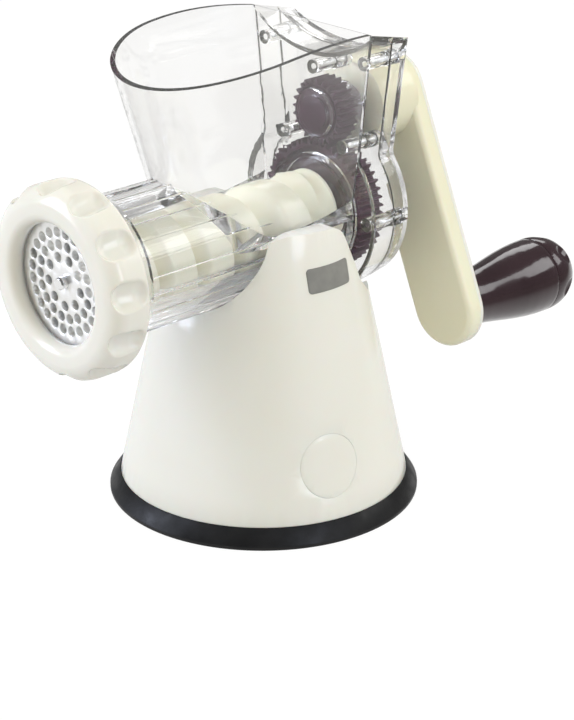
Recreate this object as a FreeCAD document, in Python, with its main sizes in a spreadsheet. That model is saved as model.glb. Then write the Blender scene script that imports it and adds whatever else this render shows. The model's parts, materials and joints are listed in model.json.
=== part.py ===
import FreeCAD
import Part
import Sketcher
import math
import operator
import os
from types import SimpleNamespace

from FreeCAD import Placement, Rotation, Vector

# Driving dimensions in millimetres and degrees. The frame has +Z up, the origin on the table at the
# centre of the foot, the outlet towards -Y and the crank towards +Y.
DIMENSIONS = {
    # Foot and base
    "foot_radius": 77.5,
    "skirt_height": 9.5,
    "skirt_top_radius": 72.2,
    "skirt_inner_radius": 65.0,
    "cone_base_radius": 71.9,
    "cone_base_height": 8.8,
    "cone_top_radius": 41.9,
    "cone_top_height": 150.0,
    "cone_wall": 3.0,
    "floor_height": 12.0,
    "floor_thickness": 3.0,
    "floor_radius": 66.0,
    # Suction mechanism
    "membrane_radius": 64.0,
    "membrane_thickness": 2.4,
    "membrane_lift": 1.2,
    "lever_height": 35.3,
    "lever_turn": -14.2,
    "lever_reach": 46.0,
    "cap_radius": 15.3,
    "shaft_radius": 5.0,
    "cam_radius": 9.0,
    "cam_throw": 2.5,
    "stem_radius": 6.0,
    # Barrel and hopper
    "axis_height": 139.4,
    "barrel_flat_radius": 33.3,
    "barrel_facets": 24,
    "bore_radius": 20.4,
    "chamber_radius": 28.5,
    "chamber_rear": 109.8,
    "collar_radius": 36.5,
    "collar_front": 120.5,
    "collar_rear": 100.0,
    "rim_half_width": 49.8,
    "rim_front": 82.1,
    "rim_back_half_width": 41.3,
    "hopper_top": 236.0,
    "throat_half_width": 32.0,
    "throat_front": 53.0,
    "throat_back_half_width": 30.0,
    "hopper_wall": 2.6,
    # Gear case
    "case_front": 31.0,
    "case_seam": 47.3,
    "case_rear": 58.1,
    "case_wall": 2.4,
    "case_front_radius": 45.0,
    "case_rear_radius": 41.3,
    "case_ring_radius": 26.4,
    "case_ring_wall": 2.2,
    "boss_radius": 3.4,
    "case_screw_radius": 1.5,
    "case_neck_half_width": 33.4,
    "case_neck_taper": 2.9,
    "case_corner_half_width": 41.0,
    "case_corner_taper": 2.0,
    "case_corner_height": 232.5,
    "case_corner_drop": 6.1,
    "case_waist_rounding": 6.0,
    "case_roof_height": 218.1,
    "case_roof_drop": 0.3,
    # Gears
    "gear_module": 1.28,
    "pinion_teeth": 24,
    "wheel_teeth": 50,
    "gear_front": 36.3,
    "gear_width": 12.0,
    "journal_radius": 8.5,
    "crank_shaft_radius": 8.0,
    "crank_bearing_radius": 11.8,
    "wheel_journal_radius": 7.0,
    "wheel_bearing_radius": 10.5,
    "dish_radius": 28.6,
    "dish_hub_radius": 12.5,
    "dish_depth": 5.0,
    "back_dish_depth": 3.5,
    "slot_reach": 20.5,
    "slot_radius": 2.0,
    "slot_half_length": 1.2,
    # Auger, blade and plate
    "auger_radius": 19.6,
    "auger_core_radius": 11.0,
    "auger_rear": 30.4,
    "auger_front": 109.5,
    "feed_pitch": 30.4,
    "press_pitch": 22.8,
    "crest_width": 12.5,
    "flange_radius": 19.2,
    "flange_rim": 1.8,
    "flange_depth": 9.4,
    "neck_radius": 10.0,
    "drive_square": 12.0,
    "pin_radius": 3.9,
    "pin_nose_radius": 3.0,
    "pin_square": 8.0,
    "plate_radius": 31.0,
    "plate_front": 121.9,
    "plate_thickness": 5.0,
    "plate_hole_radius": 2.4,
    "blade_radius": 27.0,
    # Ring nut
    "nut_radius": 45.8,
    "nut_front": 130.0,
    "nut_rear": 95.0,
    "nut_opening": 27.5,
    "nut_scoops": 12,
    "nut_rounding": 9.0,
    "nut_mouth_rounding": 5.0,
    "scoop_radius": 8.5,
    "scoop_tilt": 16.3,
    "scoop_start": 7.0,
    "scoop_lift": 2.7,
    "scoop_run": 13.5,
    "scoop_phase": 23.0,
    # Crank and knob
    "crank_reach": 112.4,
    "crank_tilt": 22.9,
    "crank_half_width": 19.7,
    "arm_front": 81.2,
    "arm_seam": 89.4,
    "arm_rear": 92.7,
    "hub_front": 60.2,
    "hub_radius": 21.0,
    "knob_start": 93.2,
    "knob_seam": 150.0,
    "knob_tip": 173.0,
    "knob_neck_radius": 13.0,
    "knob_radius": 19.5,
    "knob_dimples": 6,
    "dimple_radius": 9.0,
    "dimple_lift": 6.4,
    "dimple_tilt": 21.0,
    "dimple_phase": 8.0,
    "axle_radius": 4.0,
    "crank_square": 10.0,
    "arm_wall": 2.6,
    "arm_rounding": 3.0,
    "lid_rounding": 2.4,
    "running_gap": 0.1,
    "fit_gap": 0.3,
}

OPERATIONS = {"+": operator.add, "-": operator.sub, "*": operator.mul, "/": operator.truediv}


class Dim:
    """A driving dimension, or a sum of some: its number now and the expression the document keeps."""

    def __init__(self, number, text):
        self.number = number
        self.text = text

    def __add__(self, other):
        return combine(self, "+", other)

    def __radd__(self, other):
        return combine(other, "+", self)

    def __sub__(self, other):
        return combine(self, "-", other)

    def __rsub__(self, other):
        return combine(other, "-", self)

    def __mul__(self, other):
        return combine(self, "*", other)

    def __rmul__(self, other):
        return combine(other, "*", self)

    def __truediv__(self, other):
        return combine(self, "/", other)

    def __neg__(self):
        return combine(0.0, "-", self)


def as_dim(value):
    return value if isinstance(value, Dim) else Dim(float(value), "%.6g" % value)


def combine(left, sign, right):
    left, right = as_dim(left), as_dim(right)
    return Dim(OPERATIONS[sign](left.number, right.number), "(%s %s %s)" % (left.text, sign, right.text))


def make_sheet(doc):
    """Fill the spreadsheet; return the dimensions as expressions and as the numbers in its cells."""
    sheet = doc.addObject("Spreadsheet::Sheet", "dims")
    for row, (name, number) in enumerate(DIMENSIONS.items(), 1):
        sheet.set("A%d" % row, name)
        sheet.set("B%d" % row, str(number))
        sheet.setAlias("B%d" % row, name)
    doc.recompute()
    numbers = {name: float(sheet.get(name)) for name in DIMENSIONS}
    bound = {name: Dim(number, "dims." + name) for name, number in numbers.items()}
    return SimpleNamespace(**bound), SimpleNamespace(**numbers)


DOC = FreeCAD.newDocument("grinder")
D, N = make_sheet(DOC)
PIECES = []


def bind(thing, prop, value):
    """Bind a property to the spreadsheet."""
    thing.setExpression(prop, as_dim(value).text)


def keep(piece):
    PIECES.append(piece)
    return piece


def origin_plane(body, role):
    return next(f for f in body.Origin.OriginFeatures if f.Role == role)


def new_sketch(body, name, role):
    sketch = body.newObject("Sketcher::SketchObject", name)
    sketch.AttachmentSupport = (origin_plane(body, role), "")
    sketch.MapMode = "FlatFace"
    return sketch


def hold(sketch, kind, edge, end, value, axis):
    """Hold one coordinate of an edge's end: on the axis where it is zero, else by a bound distance."""
    value = as_dim(value)
    if abs(value.number) < 1e-9:
        sketch.addConstraint(Sketcher.Constraint("PointOnObject", edge, end, axis))
        return
    index = sketch.addConstraint(Sketcher.Constraint(kind, -1, 1, edge, end, value.number))
    sketch.setExpression("Constraints[%d]" % index, value.text)


def draw_outline(sketch, points):
    """Draw a closed polygon whose corners are all held by the spreadsheet."""
    flat = [Vector(as_dim(x).number, as_dim(y).number, 0) for x, y in points]
    count = len(flat)
    for i in range(count):
        sketch.addGeometry(Part.LineSegment(flat[i], flat[(i + 1) % count]), False)
    for i in range(count):
        sketch.addConstraint(Sketcher.Constraint("Coincident", i, 2, (i + 1) % count, 1))
    for i, (x, y) in enumerate(points):
        hold(sketch, "DistanceX", i, 1, x, -2)
        hold(sketch, "DistanceY", i, 1, y, -1)


def draw_circle(sketch, x, y, radius):
    x, y, radius = as_dim(x), as_dim(y), as_dim(radius)
    centre = Vector(x.number, y.number, 0)
    edge = sketch.addGeometry(Part.Circle(centre, Vector(0, 0, 1), radius.number), False)
    index = sketch.addConstraint(Sketcher.Constraint("Radius", edge, radius.number))
    sketch.setExpression("Constraints[%d]" % index, radius.text)
    hold(sketch, "DistanceX", edge, 3, x, -2)
    hold(sketch, "DistanceY", edge, 3, y, -1)


def revolved(name, role, points):
    """A body turned about its own axis: Y for an XY_Plane profile, Z for an XZ_Plane one."""
    body = DOC.addObject("PartDesign::Body", name)
    sketch = new_sketch(body, name + "_profile", role)
    draw_outline(sketch, points)
    turn = body.newObject("PartDesign::Revolution", name + "_turn")
    turn.Profile = sketch
    turn.ReferenceAxis = (sketch, ["V_Axis"])
    turn.Angle = 360
    DOC.recompute()
    return body


def round_edges(body, radius, chosen):
    """Fillet the edges of the body's tip for which chosen(edge) is true."""
    names = ["Edge%d" % (i + 1) for i, e in enumerate(body.Tip.Shape.Edges) if chosen(e)]
    fillet = body.newObject("PartDesign::Fillet", body.Name + "_round%d" % len(body.Group))
    fillet.Base = (body.Group[-2], names)
    bind(fillet, "Radius", radius)
    body.Tip = fillet
    DOC.recompute()
    return fillet


def ring_at(y, radius):
    """Test for a circular edge about the body's own Y axis at one place."""
    def chosen(edge):
        curve = edge.Curve
        if not isinstance(curve, Part.Circle):
            return False
        return abs(curve.Center.y - y) < 0.01 and abs(curve.Radius - radius) < 0.01
    return chosen


def feature(name, shape):
    """A piece whose shape is worked out from the spreadsheet's numbers."""
    piece = DOC.addObject("Part::Feature", name)
    piece.Shape = shape
    return keep(piece)


def along_y(radius, start, end, x=0.0, z=0.0):
    return Part.makeCylinder(radius, end - start, Vector(x, start, z), Vector(0, 1, 0))


def square_along_y(size, start, end, z):
    return Part.makeBox(size, end - start, size, Vector(-size / 2, start, z - size / 2))


def closed_wire(points):
    return Part.makePolygon([Vector(*p) for p in points] + [Vector(*points[0])])


def fused(first, *rest):
    return first.multiFuse(list(rest)).removeSplitter()


def cut(first, *rest):
    return first.cut(list(rest)).removeSplitter()


def rounded_path(corners, radii):
    """Edges in the YZ plane along straight runs whose inner corners are rounded by tangent arcs."""
    points = [Vector(0, y, z) for y, z in corners]
    edges, start = [], points[0]
    for before, corner, after, radius in zip(points, points[1:], points[2:], radii):
        to_before = (before - corner).normalize()
        to_after = (after - corner).normalize()
        half = to_before.getAngle(to_after) / 2
        reach = radius / math.tan(half)
        first, last = corner + to_before * reach, corner + to_after * reach
        middle = (to_before + to_after).normalize()
        crown = corner + middle * (radius / math.sin(half) - radius)
        edges += [Part.makeLine(start, first), Part.Arc(first, crown, last).toShape()]
        start = last
    return edges + [Part.makeLine(start, points[-1])]


# Axes and places worked out from the driving dimensions
PINION_HEIGHT = N.axis_height + N.gear_module * (N.pinion_teeth + N.wheel_teeth) / 2
AXIS = Vector(0, 0, N.axis_height)
CASE_SCREWS = [(-33.0, 217.5), (33.0, 217.5), (0.0, 209.8), (-19.6, 173.6), (19.6, 173.6),
               (-38.2, 138.5), (38.2, 138.5)]
FLOOR_SCREWS = [(52.0, angle) for angle in (40, 130, 220, 310)]
BODY_SCREWS = [-22.0, 12.0]
AUGER_STEPS = 16
FLIGHT_EDGE = 13.4
FLIGHT_CHANGE = -25.5


def cone_radius(z, inset=0.0):
    """Outer radius of the base at one height, or that of a wall inside it."""
    share = (z - N.cone_base_height) / (N.cone_top_height - N.cone_base_height)
    return N.cone_base_radius + (N.cone_top_radius - N.cone_base_radius) * share - inset


def cone_solid(bottom, top, inset=0.0):
    return Part.makeCone(cone_radius(bottom, inset), cone_radius(top, inset), top - bottom,
                         Vector(0, 0, bottom))


def case_outline(y, inset=0.0):
    """Outline of the gear case at one depth: round the wheel below, a neck, flared top and dished roof."""
    share = (y - N.case_front) / (N.case_rear - N.case_front)
    radius = N.case_front_radius + (N.case_rear_radius - N.case_front_radius) * share - inset
    neck_x = N.case_neck_half_width - N.case_neck_taper * share - inset
    corner_x = N.case_corner_half_width - N.case_corner_taper * share - 1.15 * inset
    corner_z = N.case_corner_height - N.case_corner_drop * share - 1.25 * inset
    roof_z = N.case_roof_height - N.case_roof_drop * share - inset
    neck_z = N.axis_height + math.sqrt(radius ** 2 - neck_x ** 2)
    neck, top = Vector(neck_x, y, neck_z), Vector(corner_x, y, corner_z)
    low, waist, high = waist_arc(neck, top, radius, N.case_waist_rounding + inset)
    edges = [
        Part.Arc(low, Vector(0, y, N.axis_height - radius), mirrored(low)).toShape(),
        Part.Arc(mirrored(low), mirrored(waist), mirrored(high)).toShape(),
        Part.makeLine(mirrored(high), mirrored(top)),
        Part.Arc(mirrored(top), Vector(0, y, roof_z), top).toShape(),
        Part.makeLine(top, high),
        Part.Arc(high, waist, low).toShape(),
    ]
    return Part.Wire(edges)


def mirrored(point):
    return Vector(-point.x, point.y, point.z)


def waist_arc(neck, top, radius, rounding):
    """Start, middle and end of the hollow arc between the round part and the side of the gear case."""
    along = (top - neck).normalize()
    outward = Vector(along.z, 0, -along.x)
    middle = Vector(0, neck.y, N.axis_height)
    start = neck + outward * rounding - middle
    reach = radius + rounding
    rise = -start.dot(along) + math.sqrt(start.dot(along) ** 2 - start.dot(start) + reach ** 2)
    centre = middle + start + along * rise
    low = middle + (centre - middle) * (radius / reach)
    high = centre - outward * rounding
    inward = (low - centre).normalize() + (high - centre).normalize()
    return low, centre + inward.normalize() * rounding, high


def case_solid(start, end, inset=0.0):
    return Part.makeLoft([case_outline(start, inset), case_outline(end, inset)], True, True)


def base_crest(drop=0.0):
    """Everything of the base's height below its top edge: low under the barrel, high cheeks, low behind."""
    corners = [(-90, 101), (-53, 101), (-47.5, 112), (-29, 146.2), (11.5, 144.5), (24, 114), (33, 105),
               (90, 105)]
    corners = [(y, z - drop) for y, z in corners]
    edges = rounded_path(corners, [6, 9, 22, 12, 6, 6])
    ends = [Vector(0, 90, -1), Vector(0, -90, -1)]
    first, last = Vector(0, *corners[0]), Vector(0, *corners[-1])
    edges += [Part.makeLine(last, ends[0]), Part.makeLine(ends[0], ends[1]), Part.makeLine(ends[1], first)]
    face = Part.Face(Part.Wire(Part.__sortEdges__(edges)))
    face.translate(Vector(-90, 0, 0))
    return face.extrude(Vector(180, 0, 0))


def lever_place():
    """Placement of the lever shaft: local X runs outwards through the cap."""
    return Placement(Vector(0, 0, N.lever_height), Rotation(Vector(0, 0, 1), N.lever_turn))


def along_shaft(radius, start, end, y=0.0, z=0.0):
    tube = Part.makeCylinder(radius, end - start, Vector(start, y, z), Vector(1, 0, 0))
    tube.Placement = lever_place().multiply(tube.Placement)
    return tube


def make_base():
    """Cream cone with high cheeks, a cradle for barrel and gear case, and a hollow inside."""
    gap = N.fit_gap
    cradle = along_y(N.barrel_flat_radius + gap, -90, N.case_front + 2, z=N.axis_height)
    pocket_start = N.case_front - gap
    pocket = along_y(N.case_front_radius + gap, pocket_start, 90, z=N.axis_height)
    outer = cone_solid(N.cone_base_height, N.cone_top_height).common(base_crest())
    hollow = cone_solid(0, N.cone_top_height, N.cone_wall).common(base_crest(5.0))
    thick_cradle = along_y(N.barrel_flat_radius + N.cone_wall + gap, -90, N.case_front + 2, z=N.axis_height)
    thick_pocket = along_y(N.case_front_radius + N.cone_wall + gap, pocket_start - N.cone_wall, 90,
                           z=N.axis_height)
    hollow = hollow.cut([thick_cradle, thick_pocket])
    hollow = max(hollow.Solids, key=lambda s: s.Volume)
    cap_hole = along_shaft(N.cap_radius + 0.15, 40, 90)
    lever_hole = along_shaft(N.shaft_radius + 3.0 + N.running_gap, -90, -40)
    body_holes = [Part.makeCylinder(4.3, 40, Vector(0, y, 80)) for y in BODY_SCREWS]
    screw_posts = [floor_post(reach, angle) for reach, angle in FLOOR_SCREWS]
    shell = cut(outer, hollow, cradle, pocket, cap_hole, lever_hole, *body_holes)
    feature("base_cone", fused(shell, *screw_posts))
    cap = cone_solid(N.cone_base_height, N.cone_top_height).common(along_shaft(N.cap_radius, 40, 90))
    socket = along_shaft(N.shaft_radius + N.running_gap, 0, cone_radius(N.lever_height) - 3.0)
    cap = cap.cut(cone_solid(0, N.cone_top_height, N.cone_wall + 3.0))
    feature("pivot_cap", cut(cap, socket))


def floor_post(reach, angle):
    """Screw post in the base's hollow, ending on the floor plate and running up into the cone wall."""
    x, y = reach * math.cos(math.radians(angle)), reach * math.sin(math.radians(angle))
    top = 90.0
    post = Part.makeCylinder(5.0, top - N.floor_height, Vector(x, y, N.floor_height))
    post = post.common(cone_solid(0, N.cone_top_height, 1.0))
    return post.cut(Part.makeCylinder(1.6, 14.0, Vector(x, y, N.floor_height)))


def make_foot():
    """Black rubber skirt, floor plate, suction membrane and the floor's screws."""
    lip = D.floor_height - D.floor_thickness
    skirt = revolved("foot_ring", "XZ_Plane", [
        (D.skirt_inner_radius, 0),
        (D.foot_radius, 0),
        (D.foot_radius, 1.8),
        (D.skirt_top_radius, D.skirt_height),
        (D.cone_base_radius, D.skirt_height),
        (D.cone_base_radius, D.cone_base_height - 0.1),
        (D.skirt_inner_radius, D.cone_base_height - 0.1)])
    keep(skirt)
    plate = revolved("floor_plate", "XZ_Plane", [
        (D.stem_radius + D.running_gap, lip),
        (D.floor_radius, lip),
        (D.floor_radius, D.floor_height - 0.1),
        (D.stem_radius + 5, D.floor_height - 0.1),
        (D.stem_radius + 5, D.floor_height + 6.5),
        (D.stem_radius + D.running_gap, D.floor_height + 6.5)])
    hole_plan = new_sketch(plate, "floor_plate_holes", "XY_Plane")
    for reach, angle in FLOOR_SCREWS:
        turn = math.radians(angle)
        draw_circle(hole_plan, reach * math.cos(turn), reach * math.sin(turn), 1.8)
    holes = plate.newObject("PartDesign::Pocket", "floor_plate_drill")
    holes.Profile = hole_plan
    holes.Type = 1
    holes.Midplane = True
    keep(plate)
    top = D.membrane_lift + D.membrane_thickness
    keep(revolved("suction_membrane", "XZ_Plane", [
        (3.2, D.membrane_lift),
        (D.membrane_radius, D.membrane_lift),
        (D.membrane_radius, top),
        (11, top),
        (9, top + 3),
        (3.2, top + 3)]))
    screws = []
    for reach, angle in FLOOR_SCREWS:
        turn = math.radians(angle)
        place = Vector(reach * math.cos(turn), reach * math.sin(turn), N.floor_height - N.floor_thickness)
        screws.append(screw(place, Vector(0, 0, 1), 1.5, 12.0, 3.2, 2.0))
    feature("floor_screws", Part.makeCompound(screws))


def screw(seat, direction, radius, length, head_radius, head_height):
    """Plain cross-head screw: its head stands behind the seat and its shank goes in."""
    shank = Part.makeCylinder(radius, length, seat, direction)
    back = seat - direction * head_height
    head = Part.makeCone(head_radius * 0.75, head_radius, head_height, back, direction)
    slots = []
    for turn in (0, 90):
        slot = Part.makeBox(head_radius * 1.1, head_radius * 0.3, head_height * 0.5)
        slot.translate(Vector(-head_radius * 0.55, -head_radius * 0.15, 0))
        slot.rotate(Vector(0, 0, 0), Vector(0, 0, 1), turn)
        slot.Placement = Placement(back, Rotation(Vector(0, 0, 1), direction)).multiply(slot.Placement)
        slots.append(slot)
    return shank.fuse(head).cut(slots)


def make_suction():
    """Lever, cross shaft with its eccentric cam, and the stem that the cam lifts."""
    skin = cone_radius(N.lever_height)
    inner_end, outer_end = skin - 4.0, skin + 7.0
    cam_centre = -N.cam_throw
    shaft = fused(
        along_shaft(N.shaft_radius, -outer_end, inner_end),
        along_shaft(N.cam_radius, -6, 6, z=cam_centre),
        along_shaft(N.shaft_radius + 3.0, -skin - 5.0, -skin + 12))
    shaft = cut(shaft, along_shaft(1.5, -outer_end - 1, -outer_end + 13))
    feature("cam_shaft", shaft)
    lever_inner = skin + 5.5
    lever = make_lever(lever_inner)
    feature("suction_lever", lever)
    seat = lever_place().multVec(Vector(-lever_inner - 7.0, 0, 0))
    inward = lever_place().Rotation.multVec(Vector(1, 0, 0))
    feature("lever_screw", screw(seat, inward, 1.4, 13.0, 3.2, 2.0))
    feature("suction_stem", make_stem())
    low = N.membrane_lift + 0.4
    feature("stem_screw", screw(Vector(0, 0, low), Vector(0, 0, 1), 1.6, 14.0, 3.0, 0.4))


def make_lever(inner):
    """Flat lever on the base's far side: a round hub and a blade that widens to a rounded thumb end."""
    hub = Part.makeCylinder(11.0, 7.0, Vector(-inner - 7.0, 0, 0), Vector(1, 0, 0))
    tip = Part.makeCylinder(8.5, 5.0, Vector(-inner - 7.0, N.lever_reach, 0), Vector(1, 0, 0))
    face = -inner - 7.0
    blade = Part.Face(closed_wire([(face, 0, -6.5), (face, 0, 6.5),
                                   (face, N.lever_reach, 8.4), (face, N.lever_reach, -8.4)]))
    lever = fused(hub, tip, blade.extrude(Vector(5.0, 0, 0)))
    socket = Part.makeCylinder(N.shaft_radius, 4.6, Vector(-inner - 1.6, 0, 0), Vector(1, 0, 0))
    bore = Part.makeCylinder(1.4, 12.0, Vector(-inner - 9.0, 0, 0), Vector(1, 0, 0))
    lever = cut(lever, socket, bore)
    lever.Placement = lever_place()
    return lever


def make_stem():
    """Round stem with a square-sided eye round the cam; play in the eye takes up the cam's swing."""
    eye_half = N.cam_radius + N.cam_throw + 0.6
    play = 0.9
    middle = N.lever_height - N.cam_throw
    bottom = N.membrane_lift + N.membrane_thickness + 3.1
    rod = Part.makeCylinder(N.stem_radius, middle - N.cam_radius - play - bottom, Vector(0, 0, bottom))
    block = Part.makeBox(9.0, 2 * (eye_half + 3), 2 * (N.cam_radius + play + 3))
    block.translate(Vector(-4.5, -eye_half - 3, middle - N.cam_radius - play - 3))
    window = Part.makeBox(20.0, 2 * eye_half, 2 * (N.cam_radius + play))
    window.translate(Vector(-10, -eye_half, middle - N.cam_radius - play))
    eye = block.cut(window)
    eye.rotate(Vector(0, 0, 0), Vector(0, 0, 1), N.lever_turn)
    return cut(fused(rod, eye), Part.makeCylinder(1.6, 16.0, Vector(0, 0, bottom - 1)))


def hopper_section(z, half_width, front, back_half_width, back, inset):
    """Plan of the hopper at one height: a half ellipse in front, arched sides, a flat back."""
    centre = Vector(0, -20.0 - 8.0 * (z - N.axis_height) / (N.hopper_top - N.axis_height), z)
    nose = Vector(0, -front + inset, z)
    side = Vector(half_width - inset, centre.y, z)
    arc = Part.ArcOfEllipse(Part.Ellipse(nose, side, centre), -math.pi / 2, math.pi / 2).toShape()
    first, last = arc.valueAt(arc.FirstParameter), arc.valueAt(arc.LastParameter)
    back_x = math.copysign(back_half_width - inset, last.x)
    right, left = Vector(back_x, back, z), Vector(-back_x, back, z)
    return Part.Wire([arc, side_arc(last, right), Part.makeLine(right, left), side_arc(first, left)])


def side_arc(side, corner):
    """Arc that leaves the side of the hopper's nose along Y and ends at a rear corner."""
    run, narrowing = corner.y - side.y, abs(side.x) - abs(corner.x)
    radius = (run ** 2 + narrowing ** 2) / (2 * narrowing)
    half = math.asin(run / radius) / 2
    reach = abs(side.x) - radius + radius * math.cos(half)
    middle = Vector(math.copysign(reach, side.x), side.y + radius * math.sin(half), side.z)
    return Part.Arc(side, middle, corner).toShape()


def hopper_solid(back, inset=0.0):
    low = hopper_section(N.axis_height, N.throat_half_width, N.throat_front, N.throat_back_half_width, back,
                         inset)
    high = hopper_section(N.hopper_top, N.rim_half_width, N.rim_front, N.rim_back_half_width, back, inset)
    return Part.makeLoft([low, high], True, True)


def above_rim():
    """The space above the hopper's gently arched rim, which dips towards the front lip."""
    front, middle, back = Vector(0, -92, 215.2), Vector(0, -28, 233.1), Vector(0, 36, 231.9)
    rim = Part.Arc(front, middle, back).toShape()
    corners = [back, Vector(0, 36, 260), Vector(0, -92, 260), front]
    face = Part.Face(Part.Wire([rim] + [Part.makeLine(a, b) for a, b in zip(corners, corners[1:])]))
    face.translate(Vector(-70, 0, 0))
    return face.extrude(Vector(140, 0, 0))


def barrel_solid(start, end):
    """Barrel with flat facets all round, its outside."""
    corner_radius = N.barrel_flat_radius / math.cos(math.pi / N.barrel_facets)
    turns = [2 * math.pi * (i + 0.5) / N.barrel_facets for i in range(int(N.barrel_facets))]
    points = [(corner_radius * math.sin(t), start, N.axis_height + corner_radius * math.cos(t))
              for t in turns]
    return Part.Face(closed_wire(points)).extrude(Vector(0, end - start, 0))


def make_housing():
    """Clear moulding: hopper, faceted barrel with its threaded mouth, and the gear case's front half."""
    wall = N.case_front + N.case_wall
    outside = fused(
        hopper_solid(N.case_front + 0.5).cut(above_rim()),
        barrel_solid(-N.collar_rear - 3, N.case_front + 1),
        along_y(N.collar_radius, -N.collar_front, -N.collar_rear, z=N.axis_height),
        case_solid(N.case_front, N.case_seam))
    bosses = [along_y(N.boss_radius, wall - 0.5, N.case_seam, x, z) for x, z in CASE_SCREWS]
    bosses = [b.common(case_solid(N.case_front, N.case_seam)) for b in bosses]
    ring = along_y(N.crank_bearing_radius, wall - 0.5, N.gear_front - 0.4, z=PINION_HEIGHT)
    collar = cut(along_y(N.case_ring_radius, wall - 0.5, wall + 3.8, z=N.axis_height),
                 along_y(N.case_ring_radius - N.case_ring_wall, wall - 1, wall + 4, z=N.axis_height))
    feet = [Part.makeCylinder(4.0, 14.0, Vector(0, y, N.axis_height - N.barrel_flat_radius - 12.0))
            for y in BODY_SCREWS]
    hollow = [
        hopper_solid(N.case_front, N.hopper_wall),
        along_y(N.bore_radius, -N.collar_front - 1, N.case_front, z=N.axis_height),
        along_y(N.chamber_radius, -N.collar_front - 1, -N.chamber_rear, z=N.axis_height),
        along_y(N.plate_radius + 0.3, -N.collar_front - 1, -N.plate_front + N.plate_thickness,
                z=N.axis_height),
        case_solid(wall, N.case_seam + 0.5, N.case_wall)]
    shell = fused(cut(outside, *hollow), *bosses, ring, collar, *[f.cut(barrel_core()) for f in feet])
    holes = [along_y(N.case_screw_radius, wall + 2.0, N.case_seam + 1, x, z) for x, z in CASE_SCREWS]
    holes.append(along_y(N.journal_radius + N.running_gap, wall - 0.2, N.gear_front, z=PINION_HEIGHT))
    holes.append(along_y(N.neck_radius + N.running_gap, N.case_front - 1, wall + 1, z=N.axis_height))
    holes += [Part.makeCylinder(1.5, 9.0, Vector(0, y, N.axis_height - N.barrel_flat_radius - 13.0))
              for y in BODY_SCREWS]
    feature("hopper_body", cut(shell, *holes))
    seats = [Vector(0, y, N.axis_height - N.barrel_flat_radius - 12.0) for y in BODY_SCREWS]
    screws = [screw(seat, Vector(0, 0, 1), 1.4, 8.0, 6.0, 2.2) for seat in seats]
    feature("body_screws", Part.makeCompound(screws))


def barrel_core():
    return along_y(N.bore_radius + 0.5, -N.collar_front, N.case_front, z=N.axis_height)


def make_cover():
    """Clear rear half of the gear case with bearings for the crank shaft and the wheel, and its screws."""
    wall = N.case_rear - N.case_wall
    shell = cut(case_solid(N.case_seam, N.case_rear), case_solid(N.case_seam - 0.5, wall, N.case_wall))
    bosses = [along_y(N.boss_radius + 0.4, N.case_seam, N.case_rear, x, z) for x, z in CASE_SCREWS]
    bosses = [b.common(case_solid(N.case_seam, N.case_rear)) for b in bosses]
    behind_gears = N.gear_front + N.gear_width + 0.8
    crank_boss = along_y(N.crank_bearing_radius, behind_gears, wall + 0.5, z=PINION_HEIGHT)
    wheel_boss = along_y(N.wheel_bearing_radius, behind_gears, wall + 0.5, z=N.axis_height)
    shell = fused(shell, *bosses, crank_boss, wheel_boss)
    holes = [along_y(N.case_screw_radius, N.case_seam - 1, N.case_rear, x, z) for x, z in CASE_SCREWS]
    holes += [along_y(3.1, N.case_rear - 4.0, N.case_rear + 1, x, z) for x, z in CASE_SCREWS]
    holes.append(along_y(N.crank_shaft_radius + N.running_gap, N.case_seam - 1, N.case_rear + 1,
                         z=PINION_HEIGHT))
    holes.append(along_y(N.wheel_journal_radius + N.running_gap, N.case_seam - 1, wall, z=N.axis_height))
    feature("gear_cover", cut(shell, *holes))
    seats = [Vector(x, N.case_rear - 4.0, z) for x, z in CASE_SCREWS]
    screws = [screw(seat, Vector(0, -1, 0), 1.35, 16.0, 2.9, 2.4) for seat in seats]
    feature("cover_screws", Part.makeCompound(screws))


def involute(base, radius):
    """Angle that an involute of one base circle has unwound by a given radius."""
    roll = math.sqrt(max(radius * radius / (base * base) - 1.0, 0.0))
    return roll - math.atan(roll)


def gear_face(teeth, first_turn, backlash=0.42):
    """Spur gear outline at y = 0 about the origin: involute flanks, thinned for running play."""
    module = N.gear_module
    pitch = module * teeth / 2
    base = pitch * math.cos(math.radians(20))
    root, tip = pitch - 1.2 * module, pitch + 0.9 * module
    half = math.pi / (2 * teeth) - backlash / (2 * pitch)
    radii = [max(root, base) + 0.02, pitch, tip]
    flank = [(r, half + involute(base, pitch) - involute(base, r)) for r in radii]
    points = []
    for i in range(int(teeth)):
        middle = first_turn + 2 * math.pi * i / teeth
        left = [(root, flank[0][1])] + flank
        points += [(r, middle - a) for r, a in left]
        points += [(r, middle + a) for r, a in reversed(left)]
    return Part.Face(closed_wire([(r * math.cos(a), 0, r * math.sin(a)) for r, a in points]))


def gear_solid(teeth, first_turn, height):
    gear = gear_face(teeth, first_turn).extrude(Vector(0, N.gear_width, 0))
    gear.translate(Vector(0, N.gear_front, height))
    return gear


def make_pinion():
    """Small gear with its front journal, crank shaft and square end, all one moulding."""
    front, rear = N.gear_front, N.gear_front + N.gear_width
    gear = gear_solid(N.pinion_teeth, -math.pi / 2, PINION_HEIGHT)
    pinion = fused(
        gear,
        along_y(N.journal_radius, N.case_front + N.case_wall, front + 1, z=PINION_HEIGHT),
        along_y(N.crank_shaft_radius, rear - 1, N.hub_front - 0.3, z=PINION_HEIGHT),
        swung(square_along_y(N.crank_square, N.hub_front - 1.3, N.arm_front + 1.5, 0)))
    recess = cut(along_y(13.2, front - 1, front + 1.6, z=PINION_HEIGHT),
                 along_y(12.0, front - 1, front + 2, z=PINION_HEIGHT))
    bore = along_y(1.6, N.arm_front - 12, N.arm_front + 3, z=PINION_HEIGHT)
    feature("drive_pinion", cut(pinion, recess, bore))


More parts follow.
